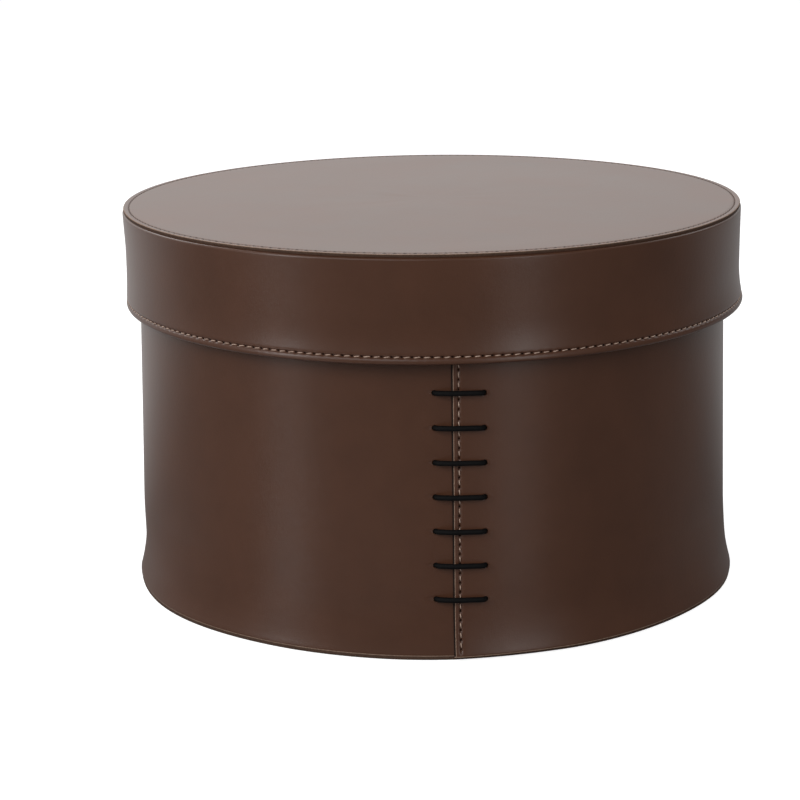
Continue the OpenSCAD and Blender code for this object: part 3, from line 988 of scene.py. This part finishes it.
make_wall()
make_sole()
make_rim()
make_top()
make_top_stitches()
make_hem_stitches()
make_seam_stitches()
make_rim_seam_stitches()
make_lace()

# Finishes of the pieces that keep their own shape
KEPT = {"floor_board": FIBREBOARD, "wall_board": FIBREBOARD, "rim_board": FIBREBOARD,
        "top_board": FIBREBOARD, "floor_lining": LINING, "wall_lining": LINING, "rim_lining": LINING,
        "top_lining": LINING}
for name, material in KEPT.items():
    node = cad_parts[name]
    node.data.materials.clear()
    node.data.materials.append(material)


# Camera, floor and lights

CAMERA_PLACE = (-0.0771, -1.19766, 0.4031)
CAMERA_LENS = 97.16
CAMERA_HEADING = math.radians(2.8)
CAMERA_PITCH = 0.253
CAMERA_ROLL = 0.01368


def make_camera():
    """The photograph's camera: a long lens in front, a little left of the seam and above the lid."""
    data = bpy.data.cameras.new("camera")
    data.lens = CAMERA_LENS
    data.sensor_width = 36
    camera = bpy.data.objects.new("camera", data)
    bpy.context.scene.collection.objects.link(camera)
    heading, pitch, roll = CAMERA_HEADING, CAMERA_PITCH, CAMERA_ROLL
    forward = Vector((math.sin(heading) * math.cos(pitch), math.cos(heading) * math.cos(pitch),
                      -math.sin(pitch)))
    right = Vector((math.cos(heading), -math.sin(heading), 0))
    up = right.cross(forward)
    rolled_right = math.cos(roll) * right - math.sin(roll) * up
    rolled_up = math.sin(roll) * right + math.cos(roll) * up
    turn = Matrix((rolled_right, rolled_up, -forward)).transposed().to_4x4()
    camera.matrix_world = Matrix.Translation(CAMERA_PLACE) @ turn
    bpy.context.scene.camera = camera


def area_light(name, azimuth, elevation, distance, width, height, power):
    """A softbox aimed at the box. Azimuth 0 stands where the camera does, 90 at its right."""
    data = bpy.data.lights.new(name, "AREA")
    data.shape = "RECTANGLE"
    data.size = width
    data.size_y = height
    data.energy = power
    light = bpy.data.objects.new(name, data)
    bpy.context.scene.collection.objects.link(light)
    a, e = math.radians(azimuth), math.radians(elevation)
    away = Vector((math.sin(a) * math.cos(e), -math.cos(a) * math.cos(e), math.sin(e)))
    light.location = away * distance + Vector((0, 0, 0.1))
    light.rotation_euler = away.to_track_quat("Z", "Y").to_euler()


def make_world():
    """White to the eye and in reflections from behind; dimmer in front, as in a room with one white sweep."""
    world = bpy.data.worlds.new("studio")
    world.use_nodes = True
    bpy.context.scene.world = world
    tree = world.node_tree
    tree.nodes.clear()
    path = add(tree, "ShaderNodeLightPath")
    place = add(tree, "ShaderNodeTexCoord")
    towards_back = add(tree, "ShaderNodeVectorMath", {"operation": "DOT_PRODUCT", 1: BRIGHT_SIDE},
                       {0: place.outputs["Generated"]})
    front = add(tree, "ShaderNodeMapRange",
                {"From Min": 0.0, "From Max": 0.85, "To Min": SHINE_IN_FRONT, "To Max": SHINE_BEHIND},
                {"Value": towards_back.outputs["Value"]})
    glossy = add(tree, "ShaderNodeMath", {"operation": "MAXIMUM"},
                 {0: path.outputs["Is Glossy Ray"], 1: path.outputs["Is Transmission Ray"]})
    shine = add(tree, "ShaderNodeMix", {"data_type": "FLOAT", 2: WORLD_DIFFUSE},
                {0: glossy.outputs[0], 3: front.outputs["Result"]})
    strength = add(tree, "ShaderNodeMix", {"data_type": "FLOAT", 3: 1.0},
                   {0: path.outputs["Is Camera Ray"], 2: shine.outputs[0]})
    background = add(tree, "ShaderNodeBackground", {"Color": (1, 1, 1, 1)}, {"Strength": strength.outputs[0]})
    output = add(tree, "ShaderNodeOutputWorld")
    tree.links.new(background.outputs[0], output.inputs[0])


def make_floor():
    deselect()
    bpy.ops.mesh.primitive_circle_add(vertices=96, radius=12, fill_type="NGON", location=(0, 0, -0.0002))
    floor = bpy.context.object
    floor.name = "floor"
    bpy.ops.object.transform_apply(location=True)
    material = bpy.data.materials.new("white_paper_sweep")
    material.use_nodes = True
    tree = material.node_tree
    tree.nodes.clear()
    path = add(tree, "ShaderNodeLightPath")
    seen = add(tree, "ShaderNodeMath", {"operation": "MAXIMUM"},
               {0: path.outputs["Is Camera Ray"], 1: path.outputs["Is Transmission Ray"]})
    glow = add(tree, "ShaderNodeMath", {"operation": "MULTIPLY", 1: FLOOR_GLOW}, {0: seen.outputs[0]})
    tone = add(tree, "ShaderNodeMix", {"data_type": "FLOAT", 2: FLOOR_BOUNCE, 3: FLOOR_GREY},
               {0: seen.outputs[0]})
    paper = add(tree, "ShaderNodeBsdfDiffuse", None, {"Color": tone.outputs[0]})
    # In the leather's grazing reflections the paper behind the box is pale, most of all at the left
    place = add(tree, "ShaderNodeTexCoord")
    corner = add(tree, "ShaderNodeSeparateXYZ", None, {"Vector": place.outputs["Object"]})
    behind = add(tree, "ShaderNodeMapRange",
                 {"From Min": 0.05, "From Max": 0.4, "To Min": 0.0, "To Max": 1.0},
                 {"Value": corner.outputs["Y"]})
    sideways = add(tree, "ShaderNodeMapRange",
                   {"From Min": -0.3, "From Max": 0.3,
                    "To Min": FLOOR_SHINE_LEFT, "To Max": FLOOR_SHINE_RIGHT},
                   {"Value": corner.outputs["X"]})
    pale = add(tree, "ShaderNodeMath", {"operation": "MULTIPLY"},
               {0: behind.outputs[0], 1: sideways.outputs[0]})
    mirrored = add(tree, "ShaderNodeMath", {"operation": "MULTIPLY"},
                   {0: pale.outputs[0], 1: path.outputs["Is Glossy Ray"]})
    total = add(tree, "ShaderNodeMath", {"operation": "ADD"}, {0: glow.outputs[0], 1: mirrored.outputs[0]})
    lift = add(tree, "ShaderNodeEmission", {"Color": (1, 1, 1, 1)}, {"Strength": total.outputs[0]})
    both = add(tree, "ShaderNodeAddShader", None, {0: paper.outputs[0], 1: lift.outputs[0]})
    # The paper in front has a satin face in reflections, which carries the softboxes' image
    satin = add(tree, "ShaderNodeBsdfAnisotropic", {"Color": (1, 1, 1, 1), "Roughness": 0.35})
    before = add(tree, "ShaderNodeMapRange",
                 {"From Min": 0.1, "From Max": -0.2, "To Min": 0.0, "To Max": FLOOR_SATIN},
                 {"Value": corner.outputs["Y"]})
    share = add(tree, "ShaderNodeMath", {"operation": "MULTIPLY"},
                {0: path.outputs["Is Glossy Ray"], 1: before.outputs["Result"]})
    face = add(tree, "ShaderNodeMixShader", None,
               {0: share.outputs[0], 1: both.outputs[0], 2: satin.outputs[0]})
    output = add(tree, "ShaderNodeOutputMaterial")
    tree.links.new(face.outputs[0], output.inputs[0])
    floor.data.materials.append(material)


make_camera()
make_world()
make_floor()

# Softboxes: azimuth and elevation in degrees, distance, width and height in metres, power in watts
SOFTBOXES = {
    "left_softbox": (-57, 22, 1.6, 0.3, 1.0, 9),
    "right_softbox": (27, 18, 1.7, 0.22, 1.1, 5),
    "top_softbox": (170, 60, 1.6, 1.4, 1.0, 2),
    "front_high_softbox": (-25, 32, 1.8, 1.0, 0.8, 7),
    "left_high_softbox": (-125, 40, 1.8, 1.0, 1.0, 12),
    "right_high_softbox": (115, 40, 1.8, 1.0, 1.0, 6),
}
for name, settings in SOFTBOXES.items():
    area_light(name, *settings)
